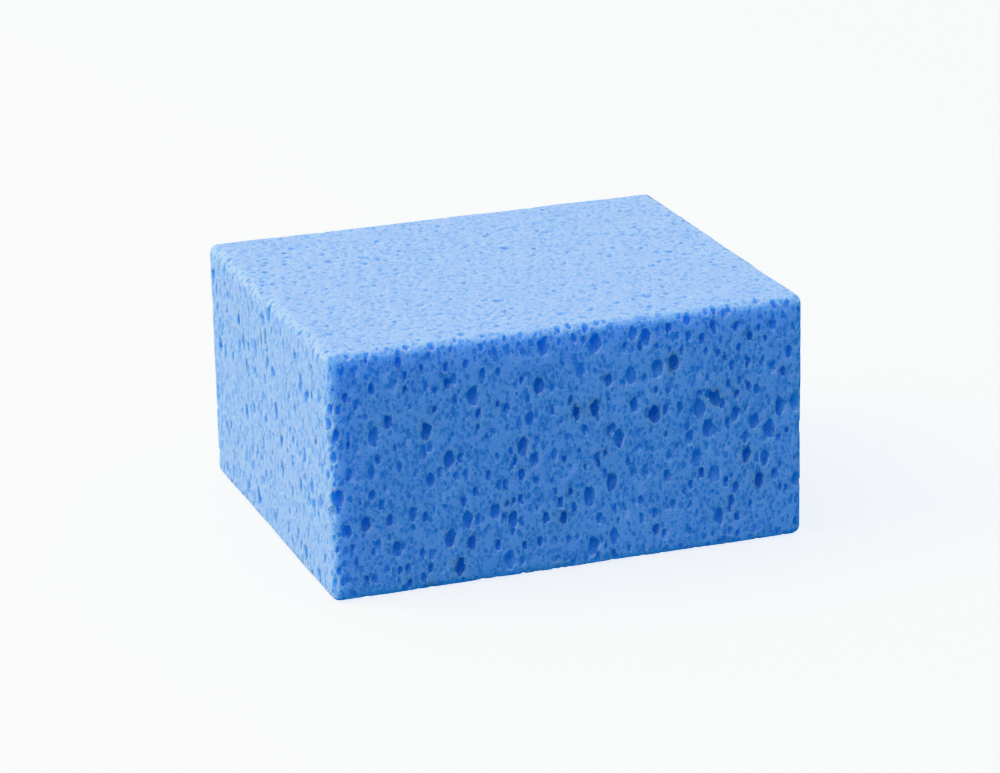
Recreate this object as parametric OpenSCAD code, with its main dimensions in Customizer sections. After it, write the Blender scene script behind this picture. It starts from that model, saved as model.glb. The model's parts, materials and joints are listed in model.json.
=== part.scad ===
// Applicator sponge: one block of soft open-cell foam.
//
// The foam rose along Z, so its bubbles stand taller than they are wide. The block is
// cut from that foam by six flat cuts with softened edges, and every bubble that a cut
// goes through is an open pore: a tall oval on the four sides, a round one above and below.
//
// Origin: the middle of the face the block lies on. +X is its length, +Z is up. Millimetres.

/* [Block] */
// Length of the block, along X
block_length = 100; // [60:1:150]
// Depth of the block, along Y
block_depth = 83; // [50:1:120]
// Thickness of the block, along the rise of the foam
block_thickness = 51; // [30:1:75]
// Radius that the knife leaves on the soft edges
edge_radius = 1.5; // [0.5:0.1:3]

/* [Pores] */
// Width of the widest pore
pore_width = 2.8; // [1.8:0.1:4]
// Width of the narrowest pore
pore_width_min = 1; // [0.6:0.1:1.8]
// Height of a pore over its width
pore_stretch = 1.6; // [1.2:0.1:2.2]
// How rare the wide pores are: 1 makes every width as common
pore_rarity = 2; // [1:0.1:4]
// Spacing of the bubbles as they form, before the wide ones crowd others out
bubble_spacing = 2.5; // [2.4:0.1:6]
// Least foam left between two pores
pore_wall = 0.25; // [0.2:0.05:2]
// Number of the scatter, each giving another pattern of pores
scatter = 4; // [1:1:99]

/* [Hidden] */
$fn = 24;

FOAM_BLUE = [0.35, 0.58, 0.87];
X = 0;
Y = 1;
Z = 2;

half_block = [block_length, block_depth, block_thickness] / 2;
spacing = bubble_spacing * [1, 1, pore_stretch];
// Rows of bubbles on each side of the middle, with one to spare
rows = [for (axis = [X:Z]) ceil(half_block[axis] / spacing[axis]) + 1];
// How far inside a cut, in half sizes of the bubble, a middle may lie for the cut to open it.
// Below the first number too little of the bubble is left, and above the second its mouth is
// a narrow hole only. The cuts above and below take just the tips: their pores stay shallow.
OPENED = [[-0.5, 0.65], [-0.5, 0.65], [-0.75, -0.25]];
// Past this many half sizes the bubble is clear of the cut
CLEAR = 1.15;

// A number from 0 to 1 that looks random, the same each time for the same bubble and draw
function draw(cell, n) =
    let (wave = sin(cell * [127.137, 311.719, 74.773] + n * 51.371 + scatter * 17.923) * 43758.5453)
    wave - floor(wave);

// A bubble is [middle, half its width], with the block's centre as the origin
function bubble(cell) =
    [
        [for (axis = [X:Z]) (cell[axis] + draw(cell, axis + 1) - 0.5) * spacing[axis]],
        (pore_width_min + (pore_width - pore_width_min) * pow(draw(cell, 0), pore_rarity)) / 2
    ];

function half_size(bubble) = bubble[1] * [1, 1, pore_stretch];

// How far the bubble's middle lies inside the nearer cut on one axis, in its half sizes
function depth_in(bubble, axis) =
    (half_block[axis] - abs(bubble[0][axis])) / half_size(bubble)[axis];

function is_cut(bubble, axis) =
    let (depth = depth_in(bubble, axis)) depth > OPENED[axis][0] && depth < OPENED[axis][1];

function is_clear(bubble, axis) = depth_in(bubble, axis) > CLEAR;

// A bubble shows when one cut or more opens it and no other only just touches it
function shows(bubble) =
    let (cuts = [for (axis = [X:Z]) is_cut(bubble, axis)],
         clears = [for (axis = [X:Z]) is_clear(bubble, axis)])
    (cuts.x || cuts.y || cuts.z)
    && (cuts.x || clears.x) && (cuts.y || clears.y) && (cuts.z || clears.z);

// Foam between two bubbles, measured as if neither were stretched
function wall_between(a, b) =
    let (apart = a[0] - b[0])
    norm([apart.x, apart.y, apart.z / pore_stretch]) - a[1] - b[1];

function crowded_out(bubble, others) =
    len([for (b = others) if (b[1] > bubble[1] && wall_between(b, bubble) < pore_wall) b]) > 0;

formed = [
    for (x = [-rows.x:rows.x], y = [-rows.y:rows.y], z = [-rows.z:rows.z])
        let (b = bubble([x, y, z]))
        if (shows(b)) b
];
pores = [for (b = formed) if (!crowded_out(b, formed)) b];

// The space inside one bubble, standing on Z about its middle
module pore_space(bubble) {
    half = half_size(bubble);
    translate(bubble[0])
        rotate_extrude()
            polygon([
                [0, -half.z],
                [0.42 * half.x, -half.z],
                [0.85 * half.x, -0.58 * half.z],
                [half.x, 0],
                [0.85 * half.x, 0.58 * half.z],
                [0.42 * half.x, half.z],
                [0, half.z]
            ]);
}

// A bar along Z, square on the origin, with its four long edges rounded
module soft_edged_bar(width, depth, length) {
    flat = [width - 2 * edge_radius, depth - 2 * edge_radius];
    linear_extrude(length, center = true) {
        square([flat.x, depth], center = true);
        square([width, flat.y], center = true);
        for (x = [-flat.x, flat.x] / 2, y = [-flat.y, flat.y] / 2)
            translate([x, y]) circle(edge_radius);
    }
}

// The solid that three bars share, one along each axis, has all its edges rounded
module cut_block() {
    intersection() {
        soft_edged_bar(block_length, block_depth, block_thickness);
        rotate([90, 0, 0]) soft_edged_bar(block_length, block_thickness, block_depth);
        rotate([0, 90, 0]) soft_edged_bar(block_thickness, block_depth, block_length);
    }
}

module foam_block() {
    color(FOAM_BLUE)
        translate([0, 0, half_block.z])
            difference() {
                cut_block();
                for (bubble = pores)
                    pore_space(bubble);
            }
}

foam_block();
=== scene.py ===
"""Applicator sponge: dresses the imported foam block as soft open-cell foam, in a white studio."""

import logging
import math
from dataclasses import dataclass, field
from enum import Enum
from typing import Callable

import bpy
import numpy as np
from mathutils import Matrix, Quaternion, Vector, kdtree, noise
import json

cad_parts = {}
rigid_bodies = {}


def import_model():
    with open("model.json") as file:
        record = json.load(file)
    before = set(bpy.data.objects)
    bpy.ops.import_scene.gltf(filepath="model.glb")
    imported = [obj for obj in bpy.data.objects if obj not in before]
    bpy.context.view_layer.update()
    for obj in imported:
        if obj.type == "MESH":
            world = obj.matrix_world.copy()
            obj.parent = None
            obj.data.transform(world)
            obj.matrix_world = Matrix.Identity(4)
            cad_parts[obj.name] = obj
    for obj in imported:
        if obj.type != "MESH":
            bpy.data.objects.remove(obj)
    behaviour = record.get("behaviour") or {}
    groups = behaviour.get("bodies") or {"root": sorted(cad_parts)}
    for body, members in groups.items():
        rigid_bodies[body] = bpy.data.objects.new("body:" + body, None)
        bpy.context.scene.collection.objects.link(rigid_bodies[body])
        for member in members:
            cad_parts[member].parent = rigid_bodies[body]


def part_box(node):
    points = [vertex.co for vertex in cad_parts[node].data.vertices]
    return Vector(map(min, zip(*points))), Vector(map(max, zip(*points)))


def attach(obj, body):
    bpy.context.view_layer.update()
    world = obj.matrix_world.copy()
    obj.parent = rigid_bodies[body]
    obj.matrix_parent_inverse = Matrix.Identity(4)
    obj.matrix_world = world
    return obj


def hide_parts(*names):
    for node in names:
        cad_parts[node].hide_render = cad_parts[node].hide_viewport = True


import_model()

LOG = logging.getLogger("sponge")
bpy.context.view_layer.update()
MM = 0.001

Colour = tuple[float, float, float]
# Middles, one row each, and half widths of some bubbles
Bubbles = tuple[np.ndarray, np.ndarray]


class Detail(Enum):
    """How finely one bubble is meshed, as (segments round it, rings along it)."""

    COARSE = (6, 4)
    MIDDLE = (7, 4)
    FINE = (9, 5)


@dataclass(frozen=True)
class BubbleScatter:
    """One family of bubbles, scattered through the foam as part.scad scatters its pores.

    Widths and spacings are in millimetres. A bubble's middle is measured from the block's
    centre, and every bubble stands ``stretch`` times as tall as it is wide. A cut opens the
    bubbles whose middles lie between two depths inside it, counted in half sizes of the
    bubble, and past ``clear`` half sizes a bubble is clear of the cut.
    """

    widest: float
    narrowest: float
    rarity: float
    spacing: float
    wall: float
    scatter: int
    stretch: float = 1.6
    opened_sides: tuple[float, float] = (-0.5, 0.65)
    opened_caps: tuple[float, float] = (-0.75, -0.25)
    clear: float = 1.15
    # A draw is what a tall wave shows past its last whole number. A step along each axis, to
    # the next draw and to the next scatter turns the wave by so many degrees
    cell_turns: tuple[float, float, float] = (127.137, 311.719, 74.773)
    draw_turn: float = 51.371
    scatter_turn: float = 17.923
    wave_height: float = 43758.5453

    def draw(self, cells: np.ndarray, number: int) -> np.ndarray:
        """Give each cell a number from 0 to 1 that looks random but never changes.

        Args:
            cells: Whole-number cell of each bubble, one row each.
            number: Which draw this is.

        Returns:
            One number for each cell.
        """
        drawn = number * self.draw_turn
        scattered = self.scatter * self.scatter_turn
        turn = cells @ np.array(self.cell_turns) + drawn + scattered
        wave = np.sin(np.radians(turn)) * self.wave_height
        return wave - np.floor(wave)

    def formed(self, half_block: np.ndarray) -> Bubbles:
        """Form the bubbles that the six cuts open.

        Args:
            half_block: Half the block's size on each axis, in millimetres.

        Returns:
            The bubbles' middles and half widths.
        """
        rise = np.array([1.0, 1.0, self.stretch])
        spacing = self.spacing * rise
        # One row to spare, because a bubble drifts by up to half the spacing
        rows = np.ceil(half_block / spacing).astype(int) + 1
        axes = [np.arange(-count, count + 1) for count in rows]
        cells = np.stack(np.meshgrid(*axes, indexing="ij"), axis=-1).reshape(-1, 3)
        drift = np.stack([self.draw(cells, axis + 1) for axis in range(3)], axis=-1) - 0.5
        middles = (cells + drift) * spacing
        share = self.draw(cells, 0) ** self.rarity
        halves = (self.narrowest + (self.widest - self.narrowest) * share) / 2
        depth = (half_block - np.abs(middles)) / (halves[:, None] * rise)
        opened = np.array([self.opened_sides, self.opened_sides, self.opened_caps])
        cut = (depth > opened[:, 0]) & (depth < opened[:, 1])
        shown = cut.any(axis=1) & (cut | (depth > self.clear)).all(axis=1)
        return middles[shown], halves[shown]

    def open_bubbles(
        self,
        half_block: np.ndarray,
        wanted: Callable[[np.ndarray, np.ndarray], np.ndarray] | None = None,
    ) -> Bubbles:
        """Form the opened bubbles and let the wide ones crowd out what they would touch.

        Args:
            half_block: Half the block's size on each axis, in millimetres.
            wanted: Tells from what is left between each middle and the nearer cut on each
                axis, and from the half widths, which bubbles to form. Without it, all are.

        Returns:
            The middles and half widths of the bubbles that are left.
        """
        middles, halves = self.formed(half_block)
        if wanted is not None:
            chosen = wanted(half_block - np.abs(middles), halves)
            middles, halves = middles[chosen], halves[chosen]
        squeezed = middles / np.array([1.0, 1.0, self.stretch])
        tree = kdtree.KDTree(len(squeezed))
        for index, middle in enumerate(squeezed):
            tree.insert(middle, index)
        tree.balance()
        kept = []
        for index, middle in enumerate(squeezed):
            near = tree.find_range(middle, halves[index] + self.widest / 2 + self.wall)
            crowded = any(
                halves[other] > halves[index]
                and gap < halves[index] + halves[other] + self.wall
                for _, other, gap in near
            )
            if not crowded:
                kept.append(index)
        return middles[kept], halves[kept]


def select_only(piece: bpy.types.Object) -> None:
    """Make one object the only selected one, and the active one.

    Args:
        piece: The object.
    """
    bpy.ops.object.select_all(action="DESELECT")
    piece.select_set(True)
    bpy.context.view_layer.objects.active = piece


def apply_modifiers(piece: bpy.types.Object) -> None:
    """Apply every modifier of an object, first to last.

    Args:
        piece: The object.
    """
    select_only(piece)
    for modifier in list(piece.modifiers):
        bpy.ops.object.modifier_apply(modifier=modifier.name)


@dataclass
class BubbleMould:
    """Stamps many bubbles out of one that is modelled once, as a closed mesh to cut with.

    The bubble is modelled with a radius of 1 and lumps of ``roughness`` at most. Each uneven
    copy takes its lumps from another place, and each stamp is turned by the golden angle
    from the one before it, so that neighbours don't look alike.
    """

    detail: Detail
    roughness: float = 0.45
    lump_scale: float = 1.4
    lump_shift: float = 9.1
    variants: int = 5
    golden_angle: float = 2.399963

    def shapes(self) -> tuple[list[np.ndarray], list[list[int]]]:
        """Model the bubble once and give uneven copies of it.

        Returns:
            The corners of each copy, and the faces that they share.
        """
        bpy.ops.object.select_all(action="DESELECT")
        segments, rings = self.detail.value
        bpy.ops.mesh.primitive_uv_sphere_add(segments=segments, ring_count=rings, radius=1.0)
        ball = bpy.context.object
        corners = np.array([vertex.co for vertex in ball.data.vertices])
        faces = [list(polygon.vertices) for polygon in ball.data.polygons]
        bpy.data.meshes.remove(ball.data)
        copies = []
        for variant in range(self.variants):
            shift = Vector((0, 0, self.lump_shift * variant))
            swell = [
                1.0 + self.roughness * noise.noise(Vector(corner) * self.lump_scale + shift)
                for corner in corners
            ]
            copies.append(corners * np.array(swell)[:, None])
        return copies, faces

    def stamp(
        self, name: str, middles: np.ndarray, halves: np.ndarray, stretch: float
    ) -> bpy.types.Object:
        """Stamp a bubble at every middle.

        Args:
            name: Name of the new object.
            middles: Middles in metres, one row each.
            halves: Half widths in metres.
            stretch: Height of a bubble over its width.

        Returns:
            One object that holds all the bubbles.
        """
        copies, faces = self.shapes()
        rise = np.array([1.0, 1.0, stretch])
        corners = []
        loops = []
        for index, (middle, half) in enumerate(zip(middles, halves)):
            turn = index * self.golden_angle
            cos_turn, sin_turn = math.cos(turn), math.sin(turn)
            turned = copies[index % self.variants] @ np.array(
                [[cos_turn, sin_turn, 0.0], [-sin_turn, cos_turn, 0.0], [0.0, 0.0, 1.0]]
            )
            corners.append(turned * half * rise + middle)
            start = index * len(copies[0])
            loops.extend([start + corner for corner in face] for face in faces)
        mesh = bpy.data.meshes.new(name)
        mesh.from_pydata(np.concatenate(corners).tolist(), [], loops)
        mesh.update()
        piece = bpy.data.objects.new(name, mesh)
        bpy.context.scene.collection.objects.link(piece)
        return piece


class Wiring:
    """Short ways to add and join the nodes of one material, or of the dome."""

    def __init__(self, tree: bpy.types.NodeTree) -> None:
        """Start on a tree of nodes.

        Args:
            tree: The tree.
        """
        self.nodes = tree.nodes
        self.links = tree.links

    def add(self, kind: str, inputs: dict, **settings: object) -> bpy.types.Node:
        """Add one node.

        Args:
            kind: Type of the node.
            inputs: A value, or an output of another node, for each input that matters.
            settings: Properties of the node.

        Returns:
            The node.
        """
        node = self.nodes.new(kind)
        for key, value in settings.items():
            setattr(node, key, value)
        for key, value in inputs.items():
            self.feed(node.inputs[key], value)
        return node

    def feed(self, socket: bpy.types.NodeSocket, value: object) -> None:
        """Feed one input.

        Args:
            socket: The input.
            value: A value, or an output of another node.
        """
        if isinstance(value, bpy.types.NodeSocket):
            self.links.new(value, socket)
        else:
            socket.default_value = value

    def dress(self, shader: str, inputs: dict) -> None:
        """Feed inputs of a node that the tree started with.

        Args:
            shader: Name of the node.
            inputs: A value, or an output of another node, for each input that matters.
        """
        for key, value in inputs.items():
            self.feed(self.nodes[shader].inputs[key], value)

    def sum(self, operation: str, first: object, second: object) -> bpy.types.NodeSocket:
        """Work out one sum of two numbers."""
        inputs = {0: first, 1: second}
        return self.add("ShaderNodeMath", inputs, operation=operation).outputs[0]

    def vector_sum(self, operation: str, *vectors: object) -> bpy.types.NodeSocket:
        """Work out one sum of one or two vectors."""
        inputs = dict(enumerate(vectors))
        return self.add("ShaderNodeVectorMath", inputs, operation=operation).outputs["Vector"]

    def vector_number(self, operation: str, *vectors: object) -> bpy.types.NodeSocket:
        """Work out one number from one or two vectors."""
        inputs = dict(enumerate(vectors))
        return self.add("ShaderNodeVectorMath", inputs, operation=operation).outputs["Value"]

    def ramp(
        self, value: object, start: object, end: object, low: float = 0.0, high: float = 1.0
    ) -> bpy.types.NodeSocket:
        """Rise smoothly from low to high while the value goes from start to end.

        Args:
            value: The value.
            start: Where the rise starts.
            end: Where it ends, which may lie below the start.
            low: The number before the start.
            high: The number past the end.

        Returns:
            The number.
        """
        inputs = {"Value": value, "From Min": start, "From Max": end, "To Min": low, "To Max": high}
        node = self.add("ShaderNodeMapRange", inputs, interpolation_type="SMOOTHSTEP")
        return node.outputs["Result"]

    def blend(self, first: object, second: object, share: object) -> bpy.types.NodeSocket:
        """Mix two colours."""
        inputs = {"Factor": share, "A": first, "B": second}
        return self.add("ShaderNodeMix", inputs, data_type="RGBA").outputs["Result"]


@dataclass(frozen=True)
class Pits:
    """One family of small pits: bubbles too small to model that the cuts also opened.

    The spacing is in millimetres. The narrowest and widest half widths are shares of it, and
    ``drift`` moves the family away from the others.
    """

    spacing: float
    narrowest: float
    widest: float
    drift: float


@dataclass(frozen=True)
class FoamFinish:
    """Dull, soft, light blue foam with fine pits, with painted shade inside its pores and pits."""

    face: Colour = (0.362, 0.605, 0.905)
    # Painted shade: the darker colour that stands in for the shadow deep inside the pores
    pore_shade: Colour = (0.305, 0.545, 0.87)
    # Painted shade: the darker colour that stands in for the shadow inside the pits
    pit_shade: Colour = (0.2, 0.43, 0.78)
    # Pale colour of the grain's lighter patches, and of the highlight painted along the ends' edges
    pale_and_highlight: Colour = (0.45, 0.70, 0.99)
    wide_pits: Pits = Pits(spacing=2.3, narrowest=0.08, widest=0.4, drift=3.3)
    middle_pits: Pits = Pits(spacing=1.4, narrowest=0.15, widest=0.45, drift=0.0)
    fine_pits: Pits = Pits(spacing=0.75, narrowest=0.25, widest=0.6, drift=7.7)
    # Height of a pit over its width, as the foam rose
    stretch: float = 1.5
    # Where a pit's wall ends, as a share of its half width
    pit_floor: float = 0.75
    # How much of the painted pit shade the pits take, and how deep they look, in millimetres
    pit_shade_strength: float = 0.9
    pit_depth: float = 0.45
    fine_pit_shade_strength: float = 0.6
    fine_pit_depth: float = 0.25
    # The grain of the foam between its pits, per millimetre, and its height in millimetres
    grain_scale: float = 2.6
    grain_detail: float = 2.0
    grain_height: float = 0.08
    # The grain turns from the face colour to the pale colour between these two levels
    pale_from: float = 0.4
    pale_to: float = 0.7
    # Depths under the skin between which the face colour gives way to the painted pore shade
    pore_shade_from: float = 0.15 * MM
    pore_shade_to: float = 0.9 * MM
    # Reach of the painted highlight along the edges of the two ends, and its strength
    highlight_from: float = 3.5 * MM
    highlight_to: float = 0.4 * MM
    highlight_strength: float = 0.8
    bump: float = 0.7
    roughness: float = 0.95
    gloss: float = 0.25
    # How much light the foam soaks up, and how far each colour goes in it, in millimetres
    softness: float = 0.9
    soak: Colour = (2.6, 3.8, 5.2)

    def pitted(
        self, wiring: Wiring, place: bpy.types.NodeSocket, pits: Pits
    ) -> bpy.types.NodeSocket:
        """Scatter one family of pits through the foam.

        Args:
            wiring: The material's wiring.
            place: Where the point lies, in millimetres, squeezed along the foam's rise.
            pits: The family.

        Returns:
            1 inside a pit and 0 outside.
        """
        moved = wiring.vector_sum("ADD", place, (pits.drift,) * 3)
        cells = wiring.add("ShaderNodeTexVoronoi", {"Vector": moved, "Scale": 1 / pits.spacing})
        edge = wiring.ramp(cells.outputs["Color"], 0.0, 1.0, pits.narrowest, pits.widest)
        floor = wiring.sum("MULTIPLY", edge, self.pit_floor)
        return wiring.ramp(cells.outputs["Distance"], edge, floor)

    def shade_in_pores(
        self, wiring: Wiring, left: bpy.types.NodeSocket, edge_radius: float
    ) -> bpy.types.NodeSocket:
        """Tell the pores' walls from the skin by their depth, for the shade painted inside the
        pores.

        Past the centre of a soft edge the block is a shell around that centre, so the depth
        under the skin is the radius less the distance from the centre.

        Args:
            wiring: The material's wiring.
            left: What is left between the point and the nearer cut, on each axis.
            edge_radius: Radius of the block's soft edges.

        Returns:
            0 on the skin and 1 in a pore.
        """
        inward = wiring.vector_sum("SUBTRACT", (edge_radius,) * 3, left)
        outer = wiring.vector_sum("MAXIMUM", inward, (0.0, 0.0, 0.0))
        reach = wiring.vector_number("LENGTH", outer)
        return wiring.ramp(reach, edge_radius - self.pore_shade_from, edge_radius - self.pore_shade_to)

    def on_highlit_edges(self, wiring: Wiring, left: bpy.types.NodeSocket) -> bpy.types.NodeSocket:
        """Find the edges of the two ends, where a pale highlight is painted.

        Args:
            wiring: The material's wiring.
            left: What is left between the point and the nearer cut, on each axis.

        Returns:
            1 along those edges and 0 away from them.
        """
        axes = wiring.add("ShaderNodeSeparateXYZ", {0: left}).outputs
        across = wiring.sum("MINIMUM", axes["Y"], axes["Z"])
        from_edge = wiring.sum("ADD", axes["X"], across)
        return wiring.ramp(from_edge, self.highlight_from, self.highlight_to)

    def build(
        self, name: str, centre: Vector, half_block: Vector, edge_radius: float
    ) -> bpy.types.Material:
        """Build the material.

        Args:
            name: Name of the material.
            centre: Centre of the block.
            half_block: Half the block's size on each axis.
            edge_radius: Radius of the block's soft edges.

        Returns:
            The finished material.
        """
        material = bpy.data.materials.new(name)
        material.use_nodes = True
        wiring = Wiring(material.node_tree)
        place = wiring.add("ShaderNodeTexCoord", {}).outputs["Object"]
        from_centre = wiring.vector_sum("SUBTRACT", place, centre)
        folded = wiring.vector_sum("ABSOLUTE", from_centre)
        left = wiring.vector_sum("SUBTRACT", half_block, folded)
        pore_shade_share = self.shade_in_pores(wiring, left, edge_radius)
        # Painted highlight along the edges of the two ends
        pale_and_highlight = wiring.sum("MULTIPLY", self.on_highlit_edges(wiring, left), self.highlight_strength)

        squeeze = (1 / MM, 1 / MM, 1 / MM / self.stretch)
        risen = wiring.add("ShaderNodeMapping", {"Vector": place, "Scale": squeeze}).outputs[0]
        middle = self.pitted(wiring, risen, self.middle_pits)
        pits = wiring.sum("MAXIMUM", middle, self.pitted(wiring, risen, self.wide_pits))
        fine = self.pitted(wiring, risen, self.fine_pits)
        texture = {"Vector": risen, "Scale": self.grain_scale, "Detail": self.grain_detail}
        grain = wiring.add("ShaderNodeTexNoise", texture).outputs["Fac"]

        # Painted shade in the pits, the darker the more of the pit shade they take
        pit_shading = wiring.sum("MULTIPLY", pits, self.pit_shade_strength)
        fine_pit_shading = wiring.sum("MULTIPLY", fine, self.fine_pit_shade_strength)
        # The grain's pale patches and the painted edge highlight both take the pale colour
        pale_grain_and_highlight = wiring.sum("MAXIMUM", wiring.ramp(grain, self.pale_from, self.pale_to), pale_and_highlight)
        skin = wiring.blend((*self.face, 1), (*self.pale_and_highlight, 1), pale_grain_and_highlight)
        pit_shade_share = wiring.sum("MAXIMUM", pit_shading, fine_pit_shading)
        with_pit_shade = wiring.blend(skin, (*self.pit_shade, 1), pit_shade_share)

        deep = wiring.sum("MULTIPLY", pits, self.pit_depth)
        fine_deep = wiring.sum("MULTIPLY", fine, self.fine_pit_depth)
        raised = wiring.sum("MULTIPLY", grain, self.grain_height)
        height = wiring.sum("SUBTRACT", raised, wiring.sum("ADD", deep, fine_deep))
        relief = {"Height": height, "Distance": MM, "Strength": self.bump}

        wiring.dress("Principled BSDF", {
            # Painted shade inside the pores, darker deeper under the skin
            "Base Color": wiring.blend(with_pit_shade, (*self.pore_shade, 1), pore_shade_share),
            "Normal": wiring.add("ShaderNodeBump", relief).outputs["Normal"],
            "Roughness": self.roughness,
            "Specular IOR Level": self.gloss,
            "Subsurface Weight": self.softness,
            "Subsurface Radius": self.soak,
            "Subsurface Scale": MM,
        })
        return material


@dataclass
class SpongeBlock:
    """The foam block: a slightly uneven cut block with open pores on every face."""

    low: Vector
    high: Vector
    edge_radius: float = 1.8 * MM
    edge_segments: int = 4
    face_cell: float = 5.0 * MM
    # The faces wander by up to this much, in broad and in fine waves: (waves per metre, share)
    unevenness: float = 0.2 * MM
    broad_waves: tuple[float, float] = (90.0, 0.7)
    fine_waves: tuple[float, float] = (320.0, 0.3)
    unevenness_seed: int = 5
    smooth_below: float = math.radians(40)
    pores: BubbleScatter = BubbleScatter(
        widest=2.8, narrowest=1.0, rarity=2.0, spacing=2.5, wall=0.25, scatter=4
    )
    # Pores at least this wide, in millimetres, are meshed finely
    fine_width: float = 1.7
    small_pores: BubbleScatter = BubbleScatter(
        widest=1.8, narrowest=0.85, rarity=1.1, spacing=1.36, wall=0.12, scatter=11,
        opened_sides=(-0.6, 0.35), opened_caps=(-0.7, 0.0),
    )
    # A small pore is left out where its middle lies in a wide one, or outside it by less than
    # this share of its half width, and where their walls all but touch, in millimetres
    swallowed: float = 0.2
    thin_wall: float = 0.15
    nicks: BubbleScatter = BubbleScatter(
        widest=1.8, narrowest=0.8, rarity=1.4, spacing=1.0, wall=0.05, scatter=7,
        opened_sides=(-1.0, 3.5), opened_caps=(-1.0, 2.2),
    )
    # The middle of a nick lies within this share of the edge radius of an edge, and within
    # this share of its half width of the skin
    nick_reach: float = 0.7
    nick_depth: float = 0.45
    finish: FoamFinish = field(default_factory=FoamFinish)

    def half(self) -> Vector:
        """Give half the block's size on each axis."""
        return (self.high - self.low) / 2

    def centre(self) -> Vector:
        """Give the block's centre."""
        return (self.high + self.low) / 2

    def cut_block(self) -> bpy.types.Object:
        """Model the block before its pores: softened edges and slightly uneven faces.

        Returns:
            The block, with its place in its mesh.
        """
        bpy.ops.object.select_all(action="DESELECT")
        bpy.ops.mesh.primitive_cube_add(size=2.0, location=self.centre())
        block = bpy.context.object
        block.name = block.data.name = "sponge_foam"
        block.scale = self.half()
        bpy.ops.object.transform_apply(location=True, rotation=True, scale=True)
        bevel = block.modifiers.new("soft_edges", "BEVEL")
        bevel.width = self.edge_radius
        bevel.segments = self.edge_segments
        apply_modifiers(block)
        for axis in range(3):
            self.slice_faces(block, axis)
        noise.seed_set(self.unevenness_seed)
        for vertex in block.data.vertices:
            broad, fine = (
                noise.noise_vector(vertex.co * waves) * share
                for waves, share in (self.broad_waves, self.fine_waves)
            )
            vertex.co += (broad + fine) * self.unevenness
        return block

    def slice_faces(self, block: bpy.types.Object, axis: int) -> None:
        """Bisect the block at even steps along one axis.

        Args:
            block: The block.
            axis: 0, 1 or 2 for X, Y or Z.
        """
        select_only(block)
        normal = [0.0, 0.0, 0.0]
        normal[axis] = 1.0
        flat = 2 * (self.half()[axis] - self.edge_radius)
        count = max(1, round(flat / self.face_cell))
        bpy.ops.object.mode_set(mode="EDIT")
        for step in range(1, count):
            bpy.ops.mesh.select_all(action="SELECT")
            place = self.centre()
            place[axis] += flat * (step / count - 0.5)
            bpy.ops.mesh.bisect(plane_co=place, plane_no=normal)
        bpy.ops.object.mode_set(mode="OBJECT")

    def cut(self, block: bpy.types.Object, cutter: bpy.types.Object) -> None:
        """Cut a closed mesh out of the block and delete the cutter.

        Args:
            block: The block.
            cutter: What is cut out of it.
        """
        difference = block.modifiers.new("open_pores", "BOOLEAN")
        difference.operation = "DIFFERENCE"
        difference.solver = "MANIFOLD"
        difference.object = cutter
        apply_modifiers(block)
        bpy.data.meshes.remove(cutter.data)

    def open_pores(
        self, block: bpy.types.Object, bubbles: Bubbles, stretch: float, detail: Detail
    ) -> None:
        """Open bubbles in the block.

        Args:
            block: The block.
            bubbles: The bubbles' middles and half widths, in millimetres.
            stretch: Height of a bubble over its width.
            detail: How finely the bubbles are meshed.
        """
        middles, halves = bubbles
        places = middles * MM + np.array(self.centre())
        cutter = BubbleMould(detail).stamp("bubbles", places, halves * MM, stretch)
        self.cut(block, cutter)
        faces = len(block.data.polygons)
        LOG.info("%d bubbles %s, block now %d faces", len(halves), detail.name, faces)

    def clear_of(self, bubbles: Bubbles, others: Bubbles, stretch: float) -> Bubbles:
        """Leave out the bubbles that other ones swallow or all but touch.

        Args:
            bubbles: The bubbles' middles and half widths, in millimetres.
            others: Those of the bubbles that are open already.
            stretch: Height of a bubble over its width.

        Returns:
            The bubbles that are left.
        """
        middles, halves = bubbles
        squeeze = np.array([1.0, 1.0, 1 / stretch])
        dropped = np.zeros(len(middles), bool)
        for middle, half in zip(*others):
            apart = np.linalg.norm((middles - middle) * squeeze, axis=1)
            dropped |= apart < half + self.swallowed * halves
            dropped |= np.abs(apart - half - halves) < self.thin_wall
        return middles[~dropped], halves[~dropped]

    def on_edges(self, left: np.ndarray, halves: np.ndarray) -> np.ndarray:
        """Tell which bubbles sit astride the skin of a soft edge.

        Args:
            left: What is left between each middle and the nearer cut on each axis, in
                millimetres.
            halves: Half widths of the bubbles, in millimetres.

        Returns:
            Whether each bubble does.
        """
        radius = self.edge_radius / MM
        depth = radius - np.linalg.norm(np.clip(radius - left, 0.0, None), axis=1)
        second_least = np.sort(left, axis=1)[:, 1]
        return (second_least < self.nick_reach * radius) & (
            np.abs(depth) < self.nick_depth * halves
        )

    def drop_crumbs(self, block: bpy.types.Object) -> None:
        """Delete the crumbs that pores cut loose and the bubbles that opened nowhere.

        Args:
            block: The block.
        """
        select_only(block)
        bpy.ops.object.mode_set(mode="EDIT")
        bpy.ops.mesh.select_mode(type="VERT")
        bpy.ops.mesh.select_all(action="DESELECT")
        bpy.ops.object.mode_set(mode="OBJECT")
        block.data.vertices[0].select = True
        bpy.ops.object.mode_set(mode="EDIT")
        bpy.ops.mesh.select_linked()
        bpy.ops.mesh.select_all(action="INVERT")
        bpy.ops.mesh.delete(type="VERT")
        bpy.ops.object.mode_set(mode="OBJECT")

    def build(self) -> bpy.types.Object:
        """Model the block, open its pores and dress it.

        Returns:
            The finished piece.
        """
        block = self.cut_block()
        half_mm = np.array(self.half()) / MM

        pores = self.pores.open_bubbles(half_mm)
        middles, halves = pores
        wide = 2 * halves >= self.fine_width
        for chosen, detail in ((wide, Detail.FINE), (~wide, Detail.MIDDLE)):
            bubbles = middles[chosen], halves[chosen]
            self.open_pores(block, bubbles, self.pores.stretch, detail)

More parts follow.
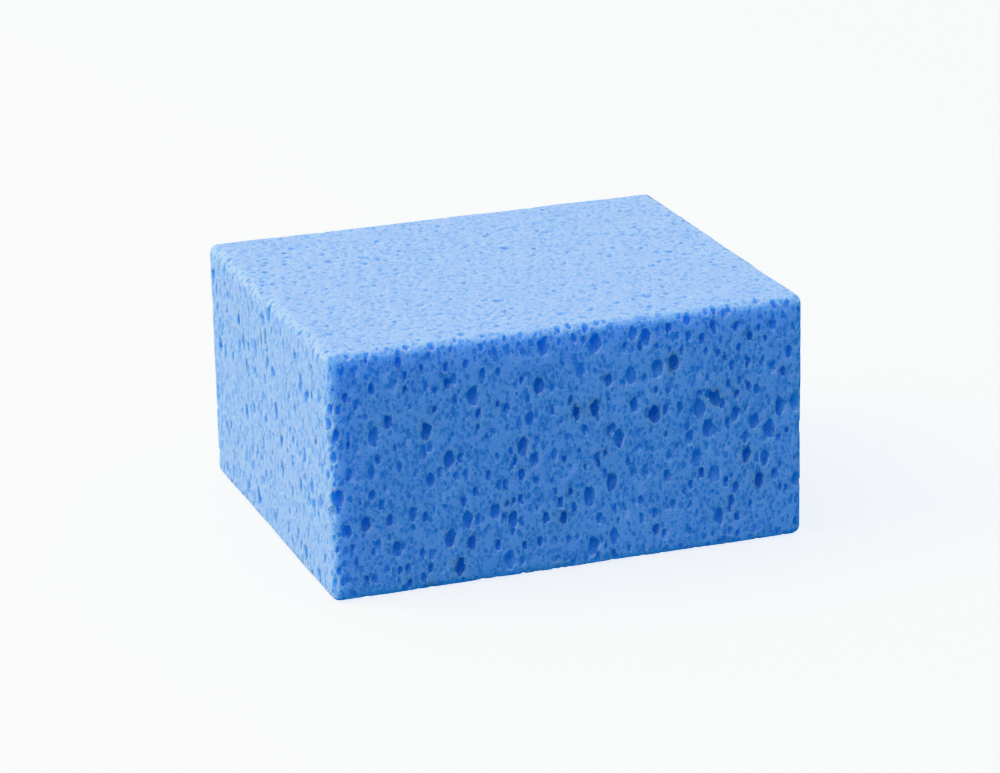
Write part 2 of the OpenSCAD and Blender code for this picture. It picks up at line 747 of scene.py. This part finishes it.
        small = self.small_pores.open_bubbles(half_mm)
        small = self.clear_of(small, pores, self.small_pores.stretch)
        self.open_pores(block, small, self.small_pores.stretch, Detail.COARSE)

        nicks = self.nicks.open_bubbles(half_mm, self.on_edges)
        self.open_pores(block, nicks, self.nicks.stretch, Detail.COARSE)

        self.drop_crumbs(block)
        select_only(block)
        bpy.ops.object.shade_smooth_by_angle(angle=self.smooth_below)
        block.data.materials.clear()
        foam = self.finish.build("foam", self.centre(), self.half(), self.edge_radius)
        block.data.materials.append(foam)
        return block


@dataclass(frozen=True)
class FloorFinish:
    """Matt white that glows a little, so that the floor runs into the dome with no line."""

    base: Colour = (0.6, 0.62, 0.52)
    roughness: float = 0.9
    glow: Colour = (1.0, 1.0, 1.0)
    glow_strength: float = 1.2

    def build(self, name: str) -> bpy.types.Material:
        """Build the material.

        Args:
            name: Name of the material.

        Returns:
            The finished material.
        """
        material = bpy.data.materials.new(name)
        material.use_nodes = True
        Wiring(material.node_tree).dress("Principled BSDF", {
            "Base Color": (*self.base, 1),
            "Roughness": self.roughness,
            "Emission Color": (*self.glow, 1),
            "Emission Strength": self.glow_strength,
        })
        return material


@dataclass(frozen=True)
class DomeFinish:
    """A white dome: bright on the key light's side, dim and cool on the other."""

    bright_side: tuple[float, float, float] = (-0.7, 0.37, 1.17)
    bright: Colour = (1.94, 1.87, 2.25)
    dim: Colour = (0.081, 0.243, 0.525)
    # Where the dome turns from dim to bright, as the cosine of the angle to its bright side
    dim_until: float = 0.15
    bright_from: float = 0.95
    backdrop: Colour = (4.0, 4.0, 4.0)
    strength: float = 1.0

    def build(self, name: str) -> bpy.types.World:
        """Build the world.

        Args:
            name: Name of the world.

        Returns:
            The finished world.
        """
        world = bpy.data.worlds.new(name)
        world.use_nodes = True
        wiring = Wiring(world.node_tree)
        towards = wiring.add("ShaderNodeTexCoord", {}).outputs["Generated"]
        along = wiring.vector_number("DOT_PRODUCT", towards, Vector(self.bright_side).normalized())
        share = wiring.ramp(along, self.dim_until, self.bright_from)
        sides = wiring.blend((*self.dim, 1), (*self.bright, 1), share)
        seen = wiring.add("ShaderNodeLightPath", {}).outputs["Is Camera Ray"]
        shown = wiring.blend(sides, (*self.backdrop, 1), seen)
        wiring.dress("Background", {"Color": shown, "Strength": self.strength})
        return world


@dataclass
class Studio:
    """The white floor, the lights and the camera, which looks at ``aim``."""

    aim: Vector
    azimuth: float = math.radians(-19.4)
    elevation: float = math.radians(18.6)
    roll: float = math.radians(-1.14)
    distance: float = 0.805
    lens: float = 140.0
    floor_size: float = 12.0
    # Just under the lowest point of the uneven underside
    floor_level: float = -0.2 * MM
    floor_finish: FloorFinish = field(default_factory=FloorFinish)
    dome_finish: DomeFinish = field(default_factory=DomeFinish)

    def floor(self) -> bpy.types.Object:
        """Lay the floor.

        Returns:
            The floor.
        """
        bpy.ops.object.select_all(action="DESELECT")
        place = (0.0, 0.0, self.floor_level)
        bpy.ops.mesh.primitive_plane_add(size=self.floor_size, location=place)
        bpy.ops.object.transform_apply(location=True, rotation=True, scale=True)
        floor = bpy.context.object
        floor.name = "floor"
        floor.data.materials.append(self.floor_finish.build("studio_white"))
        floor.visible_diffuse = False
        floor.visible_glossy = False
        return floor

    def light(self, name: str, place: Vector, size: float, power: float, tint: Colour) -> None:
        """Hang one square soft light, turned to the block.

        Args:
            name: Name of the light.
            place: Where it hangs.
            size: Length of its side.
            power: Its power in watts.
            tint: Its colour.
        """
        lamp = bpy.data.lights.new(name, "AREA")
        lamp.size = size
        lamp.energy = power
        lamp.color = tint
        holder = bpy.data.objects.new(name, lamp)
        holder.location = place
        holder.rotation_euler = (self.aim - place).to_track_quat("-Z", "Y").to_euler()
        bpy.context.scene.collection.objects.link(holder)

    def camera(self) -> None:
        """Set the camera."""
        lens = bpy.data.cameras.new("camera")
        lens.lens = self.lens
        holder = bpy.data.objects.new("camera", lens)
        level = math.cos(self.elevation)
        back = Vector((
            math.sin(self.azimuth) * level,
            -math.cos(self.azimuth) * level,
            math.sin(self.elevation),
        ))
        holder.location = self.aim + back * self.distance
        upright = (-back).to_track_quat("-Z", "Y")
        holder.rotation_euler = (upright @ Quaternion((0, 0, 1), self.roll)).to_euler()
        bpy.context.scene.collection.objects.link(holder)
        bpy.context.scene.camera = holder

    def build(self) -> None:
        """Lay the floor and hang the lights and the dome."""
        self.floor()
        above_left = self.aim + Vector((-1.05, 0.25, 0.88))
        self.light("key", above_left, size=0.9, power=8.8, tint=(1.0, 0.865, 0.42))
        in_front = Vector((0.0, -0.16, 0.2))
        self.light("strip", in_front, size=0.1, power=0.02, tint=(0.25, 0.6, 1.0))
        bpy.context.scene.world = self.dome_finish.build("dome")
        bpy.context.scene.view_settings.view_transform = "Khronos PBR Neutral"


def main() -> None:
    """Build the sponge and the studio, and report each piece."""
    logging.basicConfig(level=logging.INFO, format="%(message)s")
    low, high = (Vector(corner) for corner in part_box("foam_block"))
    sponge = SpongeBlock(low, high)
    studio = Studio(aim=sponge.centre())
    studio.camera()
    block = sponge.build()
    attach(block, "root")
    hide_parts("foam_block")
    triangles = sum(len(face.vertices) - 2 for face in block.data.polygons)
    LOG.info("%s: %d triangles", block.name, triangles)
    studio.build()
    LOG.info("studio: floor, key light, strip light and dome")


if __name__ == "__main__":
    main()
